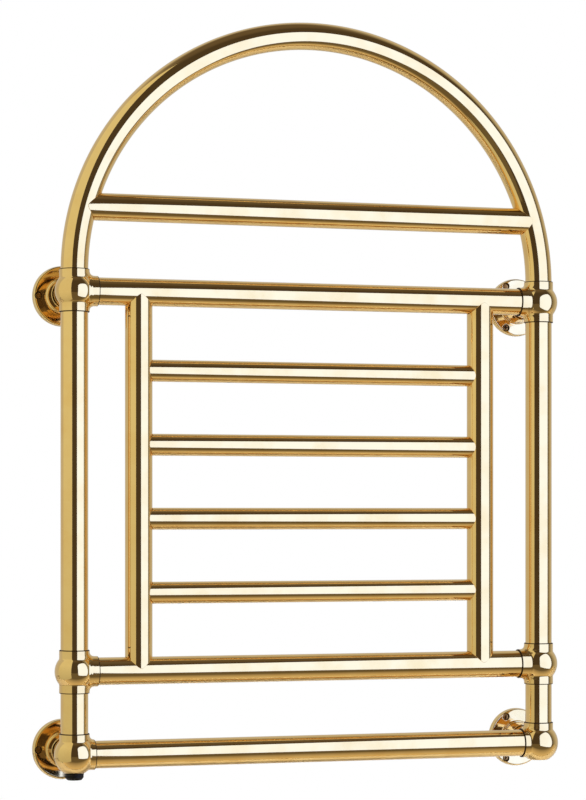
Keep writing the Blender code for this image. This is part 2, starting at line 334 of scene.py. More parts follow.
def coped_tube(name, centre, axis, radius, saddle, rows=8):
    """A tube whose two ends saddle other tubes.

    saddle(offset across the axis) gives the half length there.
    """
    side, up = across(axis)
    rounding = TUBE_END_ROUND
    shape = Shape()
    inner = radius - TUBE_WALL
    around = []
    for i in range(TUBE_SIDES):
        angle = 2 * math.pi * i / TUBE_SIDES
        around.append(math.cos(angle) * side + math.sin(angle) * up)

    def loop(wall_r, inset, sink, sign, share, normal_along):
        """One loop at a share, from -1 to 1, of the half length, less an inset."""
        points = []
        for number, way in enumerate(around):
            reach = saddle(way * wall_r) - inset
            normal = (sign * way * math.cos(normal_along) + axis * math.sin(normal_along)).normalized()
            turn = 2 * math.pi * number / TUBE_SIDES
            mark = (reach * share, wall_r * math.cos(turn), wall_r * math.sin(turn))
            points.append((centre + way * (wall_r - sign * sink) + axis * reach * share, normal, mark))
        return points

    for wall_r, sign in ((radius, 1), (inner, -1)):
        loops = []
        for row in range(rows + 1):
            loops.append(loop(wall_r, rounding, 0.0, sign, 2 * row / rows - 1, 0.0))
        for first, second in zip(loops, loops[1:]):
            shape.strip(first, second)
    for end in (-1, 1):
        rim = []
        for wall_r, sign in ((radius, 1), (inner, -1)):
            arc = []
            for step in range(4):
                angle = math.pi / 2 * step / 3
                inset = rounding * (1 - math.sin(angle))
                sink = rounding * (1 - math.cos(angle))
                arc.append(loop(wall_r, inset, sink, sign, end, end * angle))
            rim.append(arc)
            for first, second in zip(arc, arc[1:]):
                shape.strip(first, second)
        shape.strip(rim[0][-1], rim[1][-1])
    return shape.build(name)


def blend_min(first, second, width):
    """The smaller of two distances, run together where they differ by less than the width."""
    near = np.maximum(width - np.abs(first - second), 0.0) / width
    return np.minimum(first, second) - near**2 * width / 4


def casting_distance(points, ball_r, ways):
    """How far points lie outside a ball joint's skin: a ball and its collars, with fillets between them.

    Collars run into each other only outside the ball, so that the ball stays round between them.
    """
    reach = np.sqrt((points**2).sum(axis=1))
    fillet = COLLAR_FILLET * np.clip((reach - ball_r) / COLLAR_FILLET_RAMP, 0.02, 1.0)
    distance = None
    for way in ways:
        along = points @ np.array(way)
        off = np.sqrt(np.maximum(reach**2 - along**2, 0.0))
        collar = np.maximum(off - COLLAR_R, -along)
        distance = collar if distance is None else blend_min(distance, collar, fillet)
    return blend_min(distance, reach - ball_r, BALL_FILLET)


def onto_casting(points, ball_r, ways):
    """Slides points along their rays from the centre onto the skin. Gives them with their normals."""
    rays = points / np.linalg.norm(points, axis=1)[:, None]
    low = np.full(len(points), 0.5 * ball_r)
    high = np.full(len(points), 3.0 * ball_r)
    for _ in range(40):
        half = (low + high) / 2
        inside = casting_distance(rays * half[:, None], ball_r, ways) < 0
        low = np.where(inside, half, low)
        high = np.where(inside, high, half)
    skin = rays * low[:, None]
    step = 1e-6
    slopes = []
    for axis in np.eye(3):
        ahead = casting_distance(skin + step * axis, ball_r, ways)
        behind = casting_distance(skin - step * axis, ball_r, ways)
        slopes.append(ahead - behind)
    normals = np.stack(slopes, axis=1)
    return skin, normals / np.linalg.norm(normals, axis=1)[:, None]


def circle(way, radius, height, count=TUBE_SIDES):
    side, up = across(way)
    points = []
    for i in range(count):
        angle = 2 * math.pi * i / count
        points.append(radius * (math.cos(angle) * side + math.sin(angle) * up) + height * way)
    return points


def flat_edge(ball_r, ways, flat):
    """The curve where the skin meets the flat underside."""
    outwards = np.array(circle(DOWN, 1.0, 0.0))
    low = np.zeros(len(outwards))
    high = np.full(len(outwards), ball_r)
    for _ in range(40):
        half = (low + high) / 2
        points = outwards * half[:, None] + flat * np.array(DOWN)
        inside = casting_distance(points, ball_r, ways) < 0
        low = np.where(inside, half, low)
        high = np.where(inside, high, half)
    return [Vector(point) for point in outwards * low[:, None] + flat * np.array(DOWN)]


def casting_rays(ball_r, ports, flat):
    """Points whose rays cover the skin: rows round each collar and an even spread over the ball.

    First come the rims of the mouths, TUBE_SIDES points to each port in order, then the flat's rim.
    """
    rims = [circle(way, COLLAR_R, reach - COLLAR_ROUND) for way, reach in ports]
    if flat:
        rims.append(flat_edge(ball_r, [way for way, _ in ports], flat))
    points = [point for rim in rims for point in rim]
    zone = math.cos(COLLAR_ZONE)
    for number, (way, reach) in enumerate(ports):
        others = [other for k, (other, _) in enumerate(ports) if k != number]
        mouth = math.atan2(COLLAR_R, reach - COLLAR_ROUND)
        for row in range(1, COLLAR_ROWS + 1):
            angle = mouth + (COLLAR_ZONE - mouth) * row / COLLAR_ROWS
            for point in circle(way, math.sin(angle), math.cos(angle)):
                if all(point.dot(way) > point.dot(other) + 0.01 for other in others):
                    points.append(point)
    bm = bmesh.new()
    bmesh.ops.create_icosphere(bm, subdivisions=6, radius=1.0)
    margin = 0.01
    for vertex in bm.verts:
        near_port = any(vertex.co.dot(way) > zone - margin for way, _ in ports)
        on_flat = flat and vertex.co.dot(DOWN) * ball_r > flat - margin * ball_r
        if not near_port and not on_flat:
            points.append(vertex.co.copy())
    bm.free()
    return points, len(rims)


def ball_joint(name, centre, ball_r, ports, flat=None):
    """A cast ball whose collars run out along the ports. ports are (way, reach)."""
    ways = [way for way, _ in ports]
    rays, rim_count = casting_rays(ball_r, ports, flat)
    skin, normals = onto_casting(np.array(rays), ball_r, ways)

    # The hull of the rays as unit vectors gives the faces.
    bm = bmesh.new()
    number_layer = bm.verts.layers.int.new("number")
    for number, ray in enumerate(rays):
        bm.verts.new(ray.normalized())[number_layer] = number
    bmesh.ops.convex_hull(bm, input=bm.verts, use_existing_faces=False)
    shape = Shape()
    corners = []
    for point, normal in zip(skin, normals):
        corners.append((centre + Vector(point), Vector(normal), (0.0, point[0], point[2])))
    for face in bm.faces:
        numbers = [vertex[number_layer] for vertex in face.verts]
        rims = {number // TUBE_SIDES for number in numbers}
        if len(rims) == 1 and min(rims) < rim_count:
            continue
        chosen = [corners[number] for number in numbers]
        shape.face([c[0] for c in chosen], [c[1] for c in chosen], [c[2] for c in chosen])
    bm.free()

    for number, (way, reach) in enumerate(ports):
        mouth = outline(
            [
                (COLLAR_R, reach - 2 * COLLAR_ROUND, 0.0),
                (COLLAR_R, reach, COLLAR_ROUND),
                (TUBE_R + GAP, reach, 0.0002),
                (TUBE_R + GAP, SOCKET_FLOOR, 0.0002),
                (0.0, SOCKET_FLOOR, 0.0),
            ],
            6,
        )
        loops = [corners[number * TUBE_SIDES : (number + 1) * TUBE_SIDES]]
        kinds = []
        for radius, height, normal_r, normal_h in mouth:
            if height < reach - 0.99 * COLLAR_ROUND and radius > TUBE_R + 2 * GAP:
                continue
            loops.append(turned_loop(centre, way, radius, height, normal_r, normal_h))
            # Painted shade: the outer rounding of the mouth, past MOUTH_TURN, and the socket's bore get the
            # dark crevice material, so the seam reads as a dark line.
            kinds.append(CREVICE if normal_h > MOUTH_TURN or normal_r < 0 else POLISHED)
        for kind, first, second in zip(kinds, loops, loops[1:]):
            shape.strip(first, second, kind)
    if flat:
        edge = corners[len(ports) * TUBE_SIDES : (len(ports) + 1) * TUBE_SIDES]
        loops = [[(point, DOWN, mark) for point, _, mark in edge]]
        ceiling_z = PORT_STEP - PORT_R / 2
        loops.append(turned_loop(centre, DOWN, PORT_R + PORT_EDGE, flat, 0.0, 1.0))
        loops.append(turned_loop(centre, DOWN, PORT_R, flat - PORT_EDGE, -1.0, 0.0))
        loops.append(turned_loop(centre, DOWN, PORT_R, ceiling_z, -1.0, 0.0))
        shape.strip(loops[0], loops[1])
        shape.strip(loops[1], loops[2])
        # The port's bore and ceiling get the painted crevice shade.
        shape.strip(loops[2], loops[3], CREVICE)
        ceiling = [turned_loop(centre, DOWN, radius, ceiling_z, 0.0, 1.0) for radius in (PORT_R, 0.0)]
        shape.strip(*ceiling, CREVICE)
    return shape.build(name)


def cut(obj, cutters):
    """Cuts the cutters out of the object and keeps the result as its mesh."""
    for cutter in cutters:
        modifier = obj.modifiers.new("cut", "BOOLEAN")
        modifier.operation = "DIFFERENCE"
        modifier.solver = "EXACT"
        modifier.object = cutter
    graph = bpy.context.evaluated_depsgraph_get()
    mesh = bpy.data.meshes.new_from_object(obj.evaluated_get(graph))
    obj.modifiers.clear()
    old = obj.data
    obj.data = mesh
    bpy.data.meshes.remove(old)
    for cutter in cutters:
        bpy.data.objects.remove(cutter)
    mesh.shade_smooth()
    mesh.set_sharp_from_angle(angle=math.radians(28))
    weighted = obj.modifiers.new("weighted_normals", "WEIGHTED_NORMAL")
    weighted.keep_sharp = True
    weighted.weight = 100
    return obj


def everywhere(radius, height):
    """Marks every face of a cutter as a crevice, so that the walls it cuts get the painted shade."""
    return True


def turned_cutter(corners, origin, axis, count=SMALL_SIDES):
    samples = outline([(*corner, 0.0) for corner in corners])
    return revolve(Shape(), samples, origin, axis, count, hidden=everywhere).build("cutter")


def flange(name, node, grub_node):
    """A wall rose: slightly dished face, rounded rim, bead and tapered boss, bored for stem and screws."""
    low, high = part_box(node)
    centre = Vector(((low.x + high.x) / 2, high.y, (low.z + high.z) / 2))
    corners = [
        (0.0, 0.0, 0.0),
        (FLANGE_R, 0.0, 0.0004),
        (FLANGE_R, 0.0020, 0.0004),
        (FLANGE_R - 0.0012, FLANGE_FACE + 0.0005, 0.0020),
        (FLANGE_R - 0.0040, FLANGE_FACE + 0.0004, 0.0020),
        (RING_R + 0.0016, FLANGE_FACE - 0.0006, 0.0010),
        (RING_R + 0.0002, FLANGE_FACE - 0.0006, 0.0003),
        (RING_R + 0.0002, FLANGE_FACE + BEAD_RISE, 0.0022),
        (BOSS_BASE_R - 0.0006, FLANGE_FACE + BEAD_RISE, 0.0006),
        (BOSS_TIP_R, BOSS_REACH, 0.0009),
        (TUBE_R + GAP, BOSS_REACH, 0.0004),
        (TUBE_R + GAP, STEM_SEAT, 0.0),
        (0.0, STEM_SEAT, 0.0),
    ]

    # Painted shade: the stem's bore in the boss gets the dark crevice material.
    def bore(radius, height):
        return radius < TUBE_R + 0.0007 and height > 0.001

    obj = revolve(Shape(), outline(corners, 6), centre, FRONT, FLANGE_SIDES, hidden=bore).build(name)
    cutters = []
    tag = node.removeprefix("wall_flange_")
    hole_r = SCREW_HEAD_R + GAP
    for number in range(1, SCREWS_PER_FLANGE + 1):
        screw = f"wall_screw_{tag}_{number}"
        seat = middle(screw)
        top = centre.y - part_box(screw)[0].y
        seat.y = centre.y
        corners = [
            (0.0, -0.002),
            (SCREW_BORE_R, -0.002),
            (SCREW_BORE_R, top - 0.0026),
            (hole_r, top - 0.0004),
            (hole_r, FLANGE_FACE - 0.0005),
            (hole_r + 0.0008, FLANGE_FACE + 0.0003),
            (hole_r + 0.0008, FLANGE_FACE + 0.006),
            (0.0, FLANGE_FACE + 0.006),
        ]
        cutters.append(turned_cutter(corners, seat, FRONT))
    grub = middle(grub_node)
    way = Vector((grub.x - centre.x, 0.0, grub.z - centre.z)).normalized()
    start = Vector((centre.x, grub.y, centre.z))
    inner_end = TUBE_R - 0.001
    outer_end = 0.026
    hole = [(0.0, inner_end), (GRUB_BORE_R, inner_end), (GRUB_BORE_R, outer_end), (0.0, outer_end)]
    cutters.append(turned_cutter(hole, start, way))
    return cut(obj, cutters)


def cross_cutter(origin, size, depth, turn):
    """The tapered cross of a screw's recess, facing the front."""
    bm = bmesh.new()
    for quarter in (0, 1):
        blade = []
        for level, half_length, half_width in ((1, size, size * 0.20), (0, size * 0.55, size * 0.11)):
            y = -0.0012 if level else depth
            for sx, sz in ((-1, -1), (1, -1), (1, 1), (-1, 1)):
                point = Vector((sx * half_length, y, sz * half_width))
                point.rotate(Matrix.Rotation(turn + quarter * math.pi / 2, 3, "Y"))
                blade.append(bm.verts.new(origin + point))
        bm.faces.new(blade[:4])
        bm.faces.new(blade[4:])
        for i in range(4):
            j = (i + 1) % 4
            bm.faces.new((blade[i], blade[j], blade[j + 4], blade[i + 4]))
    bmesh.ops.recalc_face_normals(bm, faces=bm.faces)
    # Painted shade: the recess's walls get the dark crevice material.
    for face in bm.faces:
        face.material_index = CREVICE
    mesh = bpy.data.meshes.new("cutter")
    add_two_materials(mesh)
    bm.to_mesh(mesh)
    bm.free()
    obj = bpy.data.objects.new("cutter", mesh)
    bpy.context.scene.collection.objects.link(obj)
    return obj


def wall_screw(name, node, turn):
    """A raised countersunk screw with a cross recess."""
    low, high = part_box(node)
    axis_point = Vector(((low.x + high.x) / 2, low.y, (low.z + high.z) / 2))
    head = SCREW_HEAD_R
    corners = [
        (0.0, -(high.y - low.y), 0.0),
        (SCREW_SHANK_R, -(high.y - low.y), 0.0003),
        (SCREW_SHANK_R, -0.0024, 0.0003),
        (head, -0.0006, 0.0002),
        (head, -0.0004, 0.0002),
        (head * 0.75, -0.00012, 0.0006),
        (head * 0.4, 0.0, 0.002),
        (0.0, 0.0, 0.0),
    ]
    obj = revolve(Shape(), outline(corners, 3), axis_point, FRONT, SMALL_SIDES).build(name)
    return cut(obj, [cross_cutter(axis_point, head * 0.62, 0.0014, turn)])


def hex_cutter(origin, axis, size, low, high):
    return turned_cutter([(0.0, low), (size, low), (size, high), (0.0, high)], origin, axis, 6)


def grub_screw(name, node, flange_node):
    """A socket set screw with a chamfered mouth, across the boss."""
    centre = middle(node)
    low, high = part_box(flange_node)
    start = Vector(((low.x + high.x) / 2, centre.y, (low.z + high.z) / 2))
    way = (centre - start).normalized()
    reach = (centre - start).length
    half = abs(extent(node).dot(way)) / 2
    radius = extent(node).y / 2
    corners = [
        (0.0, reach - half, 0.0),
        (radius, reach - half, 0.0004),
        (radius, reach + half, 0.0003),
        (0.0, reach + half, 0.0),
    ]
    obj = revolve(Shape(), outline(corners, 3), start, way, SMALL_SIDES).build(name)
    return cut(obj, [hex_cutter(start, way, radius * 0.58, reach + half - 0.0016, reach + half + 0.001)])


def cable_gland(name, node):
    """A moulded dome nut with grip flutes and a mouth for the flex."""
    low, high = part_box(node)
    centre = (low + high) / 2
    radius = (high.x - low.x) / 2
    height = high.z - low.z
    origin = Vector((centre.x, centre.y, high.z))
    corners = [
        (0.0, 0.0, 0.0),
        (radius, 0.0, 0.0005),
        (radius, 0.0016, 0.0004),
        (radius - 0.0004, 0.0020, 0.0003),
        (radius - 0.0004, 0.62 * height, 0.0016),
        (radius - 0.0030, height, 0.0012),
        (0.0045, height, 0.0006),
        (0.0036, 0.72 * height, 0.0004),
        (0.0, 0.72 * height, 0.0),
    ]
    flute_depth = 0.00045

    def grip(angle, here_r, here_h):
        """The flutes' depth, which fades out above the foot and below the dome."""
        above_foot = max(0.0, (here_h - 0.0020) / 0.0006)
        below_dome = max(0.0, (0.80 * height - here_h) / 0.0012)
        band = min(1.0, above_foot, below_dome)
        if here_r < radius - 0.0022:
            return 0.0
        return -flute_depth * band * (0.5 + 0.5 * math.cos(GLAND_FLUTES * angle)) ** 2

    samples = outline(corners, 6)
    obj = revolve(Shape(), samples, origin, DOWN, 12 * GLAND_FLUTES, grip).build(name)
    obj.data.normals_split_custom_set([(0.0, 0.0, 0.0)] * len(obj.data.loops))
    obj.data.set_sharp_from_angle(angle=math.radians(50))
    return obj


def port_plug(name, node, key):
    """A plug screwed flush into the port under a corner joint, with an optional hexagon socket."""
    low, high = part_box(node)
    origin = Vector(((low.x + high.x) / 2, (low.y + high.y) / 2, high.z))
    radius = (high.x - low.x) / 2
    height = high.z - low.z
    corners = [
        (0.0, 0.0, 0.0),
        (radius, 0.0, 0.0004),
        (radius, height, 0.0006),
        (radius - 0.0014, height, 0.0002),
        (radius - 0.0018, height - 0.0004, 0.0002),
        (0.0, height - 0.0004, 0.0),
    ]
    obj = revolve(Shape(), outline(corners, 4), origin, DOWN, TUBE_SIDES).build(name)
    if key:
        cut(obj, [hex_cutter(origin, DOWN, 0.45 * radius, height - 0.005, height + 0.002)])
    return obj


# Materials


def new_material(name):
    material = bpy.data.materials.new(name)
    material.use_nodes = True
    tree = material.node_tree
    return material, tree, tree.nodes["Principled BSDF"]


def add_node(tree, kind, **values):
    """A shader node with its properties and its named or numbered inputs set."""
    node = tree.nodes.new(kind)
    for key, value in values.items():
        if hasattr(node, key):
            setattr(node, key, value)
        else:
            node.inputs[key.replace("_", " ")].default_value = value
    return node


def noise(tree, vector, scale, detail=3.0, roughness=0.55):
    node = add_node(tree, "ShaderNodeTexNoise", Scale=scale, Detail=detail, Roughness=roughness)
    tree.links.new(vector, node.inputs["Vector"])
    return node.outputs["Fac"]


def stretched(tree, vector, scale):
    node = add_node(tree, "ShaderNodeMapping")
    node.inputs["Scale"].default_value = scale
    tree.links.new(vector, node.inputs["Vector"])
    return node.outputs["Vector"]


def remap(tree, value, low, high, to_low, to_high):
    node = add_node(tree, "ShaderNodeMapRange")
    node.inputs["From Min"].default_value = low
    node.inputs["From Max"].default_value = high
    node.inputs["To Min"].default_value = to_low
    node.inputs["To Max"].default_value = to_high
    tree.links.new(value, node.inputs["Value"])
    return node.outputs["Result"]


def calculate(tree, operation, first, second):
    node = add_node(tree, "ShaderNodeMath", operation=operation)
    for number, value in enumerate((first, second)):
        if isinstance(value, float):
            node.inputs[number].default_value = value
        else:
            tree.links.new(value, node.inputs[number])
    return node.outputs["Value"]


def blended(tree, factor, first, second):
    node = add_node(tree, "ShaderNodeMix", data_type="RGBA")
    node.inputs[6].default_value = (*first, 1.0)
    node.inputs[7].default_value = (*second, 1.0)
    tree.links.new(factor, node.inputs[0])
    return node.outputs[2]


def bumped(tree, height, distance, strength, normal=None):
    node = add_node(tree, "ShaderNodeBump", Distance=distance, Strength=strength)
    tree.links.new(height, node.inputs["Height"])
    if normal:
        tree.links.new(normal, node.inputs["Normal"])
    return node.outputs["Normal"]


def polished_brass(name, colour, tarnish, smooth, rough, line_scale, wave):
    """Mirror-polished brass with buffing lines, a slow waviness, faint smudges and warm tarnish."""
    material, tree, shader = new_material(name)
    shader.inputs["Metallic"].default_value = 1.0
    place = add_node(tree, "ShaderNodeTexCoord").outputs["Object"]
    grain = add_node(tree, "ShaderNodeAttribute", attribute_name="grain").outputs["Vector"]
    lines = noise(tree, stretched(tree, grain, (line_scale, 60.0, 60.0)), 1.0, 4.0, 0.6)
    smudges = noise(tree, place, 26.0, 4.0, 0.6)
    specks = noise(tree, place, 900.0, 2.0, 0.5)
    waves = noise(tree, place, wave, 1.0, 0.4)

    tone = remap(tree, smudges, 0.42, 0.72, 0.0, 1.0)
    tree.links.new(blended(tree, tone, colour, tarnish), shader.inputs["Base Color"])
    haze = remap(tree, smudges, 0.50, 0.75, smooth, rough)
    streaks = remap(tree, lines, 0.45, 0.75, 0.0, 0.030)
    spots = remap(tree, specks, 0.66, 0.78, 0.0, 0.05)
    total = calculate(tree, "ADD", calculate(tree, "ADD", haze, streaks), spots)
    tree.links.new(total, shader.inputs["Roughness"])
    first = bumped(tree, waves, 0.0004, 0.10)
    second = bumped(tree, lines, 0.000012, 0.35, first)
    tree.links.new(second, shader.inputs["Normal"])
    return material


def plain_metal(name, colour, worn, rough, scale):
    """Satin or dark metal with fine mottling and a soft grain."""
    material, tree, shader = new_material(name)
    shader.inputs["Metallic"].default_value = 1.0
    place = add_node(tree, "ShaderNodeTexCoord").outputs["Object"]
    patches = noise(tree, place, scale, 4.0, 0.6)
    fine = noise(tree, stretched(tree, place, (1.0, 1.0, 0.15)), 2600.0, 2.0, 0.5)
    tone = remap(tree, patches, 0.40, 0.70, 0.0, 1.0)
    tree.links.new(blended(tree, tone, colour, worn), shader.inputs["Base Color"])
    tree.links.new(remap(tree, patches, 0.35, 0.7, rough, rough + 0.15), shader.inputs["Roughness"])
    tree.links.new(bumped(tree, fine, 0.00003, 0.5), shader.inputs["Normal"])
    return material


def moulded(name, colour, worn, rough, scale, depth):
    """Moulded plastic or rubber with a spark-eroded grain and duller patches."""
    material, tree, shader = new_material(name)
    shader.inputs["Specular IOR Level"].default_value = 0.25
    shader.inputs["Specular Tint"].default_value = (1.0, 0.80, 0.55, 1.0)
    place = add_node(tree, "ShaderNodeTexCoord").outputs["Object"]
    patches = noise(tree, place, 180.0, 3.0, 0.6)
    fine = noise(tree, place, scale, 3.0, 0.6)
    tone = remap(tree, patches, 0.40, 0.70, 0.0, 1.0)
    tree.links.new(blended(tree, tone, colour, worn), shader.inputs["Base Color"])
    tree.links.new(remap(tree, fine, 0.35, 0.7, rough - 0.06, rough + 0.12), shader.inputs["Roughness"])
    tree.links.new(bumped(tree, fine, depth, 0.6), shader.inputs["Normal"])
    return material


MATERIALS = {
    "tube_brass": polished_brass(
        "tube_brass_polished", (0.90, 0.60, 0.225), (0.86, 0.54, 0.18), 0.030, 0.060, 1500.0, 11.0
    ),
    "fitting_brass": polished_brass(
        "fitting_brass_polished", (0.89, 0.59, 0.22), (0.82, 0.51, 0.17), 0.035, 0.075, 1800.0, 45.0
    ),
    "flange_brass": polished_brass(
        "flange_brass_polished", (0.89, 0.62, 0.26), (0.83, 0.55, 0.20), 0.060, 0.110, 2200.0, 60.0
    ),
    # The screws' brass is a dark bronze, far darker than the other brass, so that the heads read as dark
    # spots in the flanges.
    "screw_brass": polished_brass(
        "screw_brass_turned", (0.34, 0.17, 0.045), (0.17, 0.08, 0.025), 0.30, 0.45, 3000.0, 200.0
    ),
    "plug_brass": polished_brass(
        "plug_brass_turned", (0.85, 0.58, 0.23), (0.74, 0.46, 0.16), 0.09, 0.16, 2500.0, 120.0
    ),
    "dark_steel": plain_metal(
        "dark_steel_oxide", (0.05, 0.047, 0.045), (0.12, 0.11, 0.10), 0.32, 700.0
    ),
    "nickel_sheath": plain_metal(
        "nickel_sheath_drawn", (0.60, 0.58, 0.54), (0.45, 0.42, 0.38), 0.24, 90.0
    ),
    "seal_rubber": moulded(
        "seal_rubber_matt", (0.018, 0.018, 0.018), (0.035, 0.034, 0.033), 0.75, 1500.0, 0.00008
    ),
    "black_plastic": moulded(
        "black_plastic_moulded", (0.0070, 0.0060, 0.0055), (0.013, 0.011, 0.010), 0.48, 2200.0, 0.00005
    ),
}
# Painted shade: a dull dark brown put on seams, bores, holes and recesses, where shade falls.
CREVICE_SHADE_MATERIAL = plain_metal(
    "crevice_painted_shade", (0.075, 0.040, 0.014), (0.035, 0.020, 0.009), 0.45, 400.0
)


def settle(obj, slot_name, *nodes):
    """Gives the piece its material, its slot and its ride, and lets it stand for its nodes."""
    face_materials = obj.data.materials
    face_materials[POLISHED] = MATERIALS[slot_name]
    if any(face.material_index == CREVICE for face in obj.data.polygons):
        face_materials[CREVICE] = CREVICE_SHADE_MATERIAL
    else:
        face_materials.pop(index=CREVICE)
    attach(obj, "root")
    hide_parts(*nodes)
    return obj


def make_tubes():
    settle(swept_arch("arch_polished"), "tube_brass", "arch_tube")
    for rail in ("upper_rail", "lower_rail", "bottom_rail"):
        settle(straight_tube(f"{rail}_polished", rail, RIGHT, TUBE_R), "tube_brass", rail)
    for side, _ in SIDES:
        for level in ("upper", "lower"):
            node = f"stile_{level}_{side}"
            settle(straight_tube(f"{node}_polished", node, UP, TUBE_R), "tube_brass", node)

    seat_r = TUBE_R + GAP
    mid_z = (LEVELS["upper"] + LEVELS["middle"]) / 2
    half_rise = (LEVELS["upper"] - LEVELS["middle"]) / 2
    bar_z = middle("arch_bar").z
    rise = bar_z - ARCH_CENTRE_Z

    def rail_saddle(way):
        return half_rise - math.sqrt(seat_r**2 - way.y**2)

    def post_saddle(way):
        return POST_X - math.sqrt(seat_r**2 - way.y**2)

    def arch_saddle(way):
        ring_r = STILE_X - math.sqrt(seat_r**2 - way.y**2)
        return math.sqrt(ring_r**2 - (rise + way.z) ** 2)

    for side, outward in SIDES:
        node = f"post_{side}"
        centre = Vector((outward.x * POST_X, AXIS_Y, mid_z))
        settle(coped_tube(f"{node}_polished", centre, UP, TUBE_R, rail_saddle), "tube_brass", node)
    for number in range(1, RUNG_COUNT + 1):
        node = f"rung_{number}"
        centre = Vector((0.0, AXIS_Y, middle(node).z))
        rung = coped_tube(f"{node}_polished", centre, RIGHT, RUNG_R, post_saddle)
        settle(rung, "tube_brass", node)

    bar = coped_tube("arch_bar_polished", Vector((0.0, AXIS_Y, bar_z)), RIGHT, TUBE_R, arch_saddle)
    settle(bar, "tube_brass", "arch_bar")


def make_joints():
    for side, outward in SIDES:
        x = outward.x * STILE_X
        for level, ways in (
            ("upper", [UP, DOWN, -outward, BACK]),
            ("middle", [UP, DOWN, -outward]),
            ("corner", [UP, -outward, BACK]),
        ):
            ports = [(way, RAIL_REACHES[level] if way.x else COLLAR_REACH) for way in ways]
            node = f"ball_joint_{level}_{side}"
            corner = level == "corner"
            ball_r = CORNER_BALL_R if corner else BALL_R
            centre = Vector((x, AXIS_Y, LEVELS[level]))
            ball = ball_joint(f"{node}_cast", centre, ball_r, ports, CORNER_FLAT if corner else None)
            settle(ball, "fitting_brass", node)


def make_brackets():
    turns = 0
    for side, _ in SIDES:
        for level in ("lower", "upper"):
            tag = f"{level}_{side}"
            rose = flange(f"wall_flange_{tag}_turned", f"wall_flange_{tag}", f"grub_screw_{tag}")
            settle(rose, "flange_brass", f"wall_flange_{tag}")
            stem = straight_tube(f"wall_stem_{tag}_polished", f"wall_stem_{tag}", BACK, TUBE_R)
            settle(stem, "fitting_brass", f"wall_stem_{tag}")
            grub = grub_screw(f"grub_screw_{tag}_socket", f"grub_screw_{tag}", f"wall_flange_{tag}")
            settle(grub, "dark_steel", f"grub_screw_{tag}")
            for number in range(1, SCREWS_PER_FLANGE + 1):
                turns += 1
                node = f"wall_screw_{tag}_{number}"
                screw = wall_screw(f"{node}_cross", node, FIRST_SCREW_TURN + NEXT_SCREW_TURN * turns)
                settle(screw, "screw_brass", node)


def make_underside():
    settle(cable_gland("cable_gland_moulded", "cable_gland"), "black_plastic", "cable_gland")
    settle(port_plug("element_plug_turned", "element_plug", False), "plug_brass", "element_plug")
    settle(port_plug("blanking_plug_turned", "blanking_plug", True), "plug_brass", "blanking_plug")
    for node, slot_name in (
        ("heating_rod", "nickel_sheath"),
        ("element_seal", "seal_rubber"),
        ("blanking_seal", "seal_rubber"),
    ):
        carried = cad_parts[node]
        for material_slot in carried.material_slots:
            material_slot.material = MATERIALS[slot_name]


# Studio


def glow(name, colour, strength):
    material = bpy.data.materials.new(name)
    material.use_nodes = True
    tree = material.node_tree
    tree.nodes.clear()
    emission = add_node(tree, "ShaderNodeEmission", Strength=strength)
    emission.inputs["Color"].default_value = (*colour, 1.0)
    output = add_node(tree, "ShaderNodeOutputMaterial")
    tree.links.new(emission.outputs["Emission"], output.inputs["Surface"])
    return material


def panel(name, corners, material, seen_by_camera=False):
    """A flat stage panel. One that the camera doesn't see shows only in reflections, and in its shadow."""
    mesh = bpy.data.meshes.new(name)
    mesh.from_pydata(corners, [], [tuple(range(len(corners)))])
    mesh.materials.append(material)
    obj = bpy.data.objects.new(name, mesh)
    bpy.context.scene.collection.objects.link(obj)
    obj.visible_camera = seen_by_camera
    obj.visible_diffuse = seen_by_camera
    return obj


def make_world():
    """The room as the brass sees it: pale all round, dark in front where the camera stands."""
    world = bpy.data.worlds.new("studio_room")
    world.use_nodes = True
    bpy.context.scene.world = world
    tree = world.node_tree
    background = tree.nodes["Background"]
    way = add_node(tree, "ShaderNodeTexCoord").outputs["Generated"]
    split = add_node(tree, "ShaderNodeSeparateXYZ")
    tree.links.new(way, split.inputs["Vector"])
    front = calculate(tree, "MULTIPLY", split.outputs["Y"], -1.0)
    azimuth = calculate(tree, "ARCTAN2", split.outputs["X"], front)
    share = remap(tree, azimuth, -math.pi, math.pi, 0.0, 1.0)
    ramp = add_node(tree, "ShaderNodeValToRGB")
    tree.links.new(share, ramp.inputs["Fac"])
    # Degrees round from the front, positive to the right, and the level there
    stops = (
        (-180, 0.62),
        (-150, 0.60),
        (-120, 0.60),
        (-100, 0.66),
        (-62, 0.78),
        (-56, 0.072),
        (66, 0.080),
        (76, 0.22),
        (90, 0.40),
        (106, 0.56),
        (140, 0.60),
    )
    dark_level = 0.15
    elements = ramp.color_ramp.elements
    while len(elements) > 1:
        elements.remove(elements[-1])
    for number, (degrees, level) in enumerate(stops):
        position = (degrees + 180) / 360
        element = elements[0] if number == 0 else elements.new(position)
        element.position = position
        warm = 0.84 if level < dark_level else 1.04
        element.color = (level, level * warm, level * warm**2, 1.0)
    steep = remap(tree, split.outputs["Z"], 0.80, 0.96, 0.0, 1.0)
    mix = add_node(tree, "ShaderNodeMix", data_type="RGBA")
    tree.links.new(steep, mix.inputs[0])
    tree.links.new(ramp.outputs["Color"], mix.inputs[6])
    mix.inputs[7].default_value = (0.14, 0.12, 0.10, 1.0)
    tree.links.new(mix.outputs[2], background.inputs["Color"])
    background.inputs["Strength"].default_value = 1.0


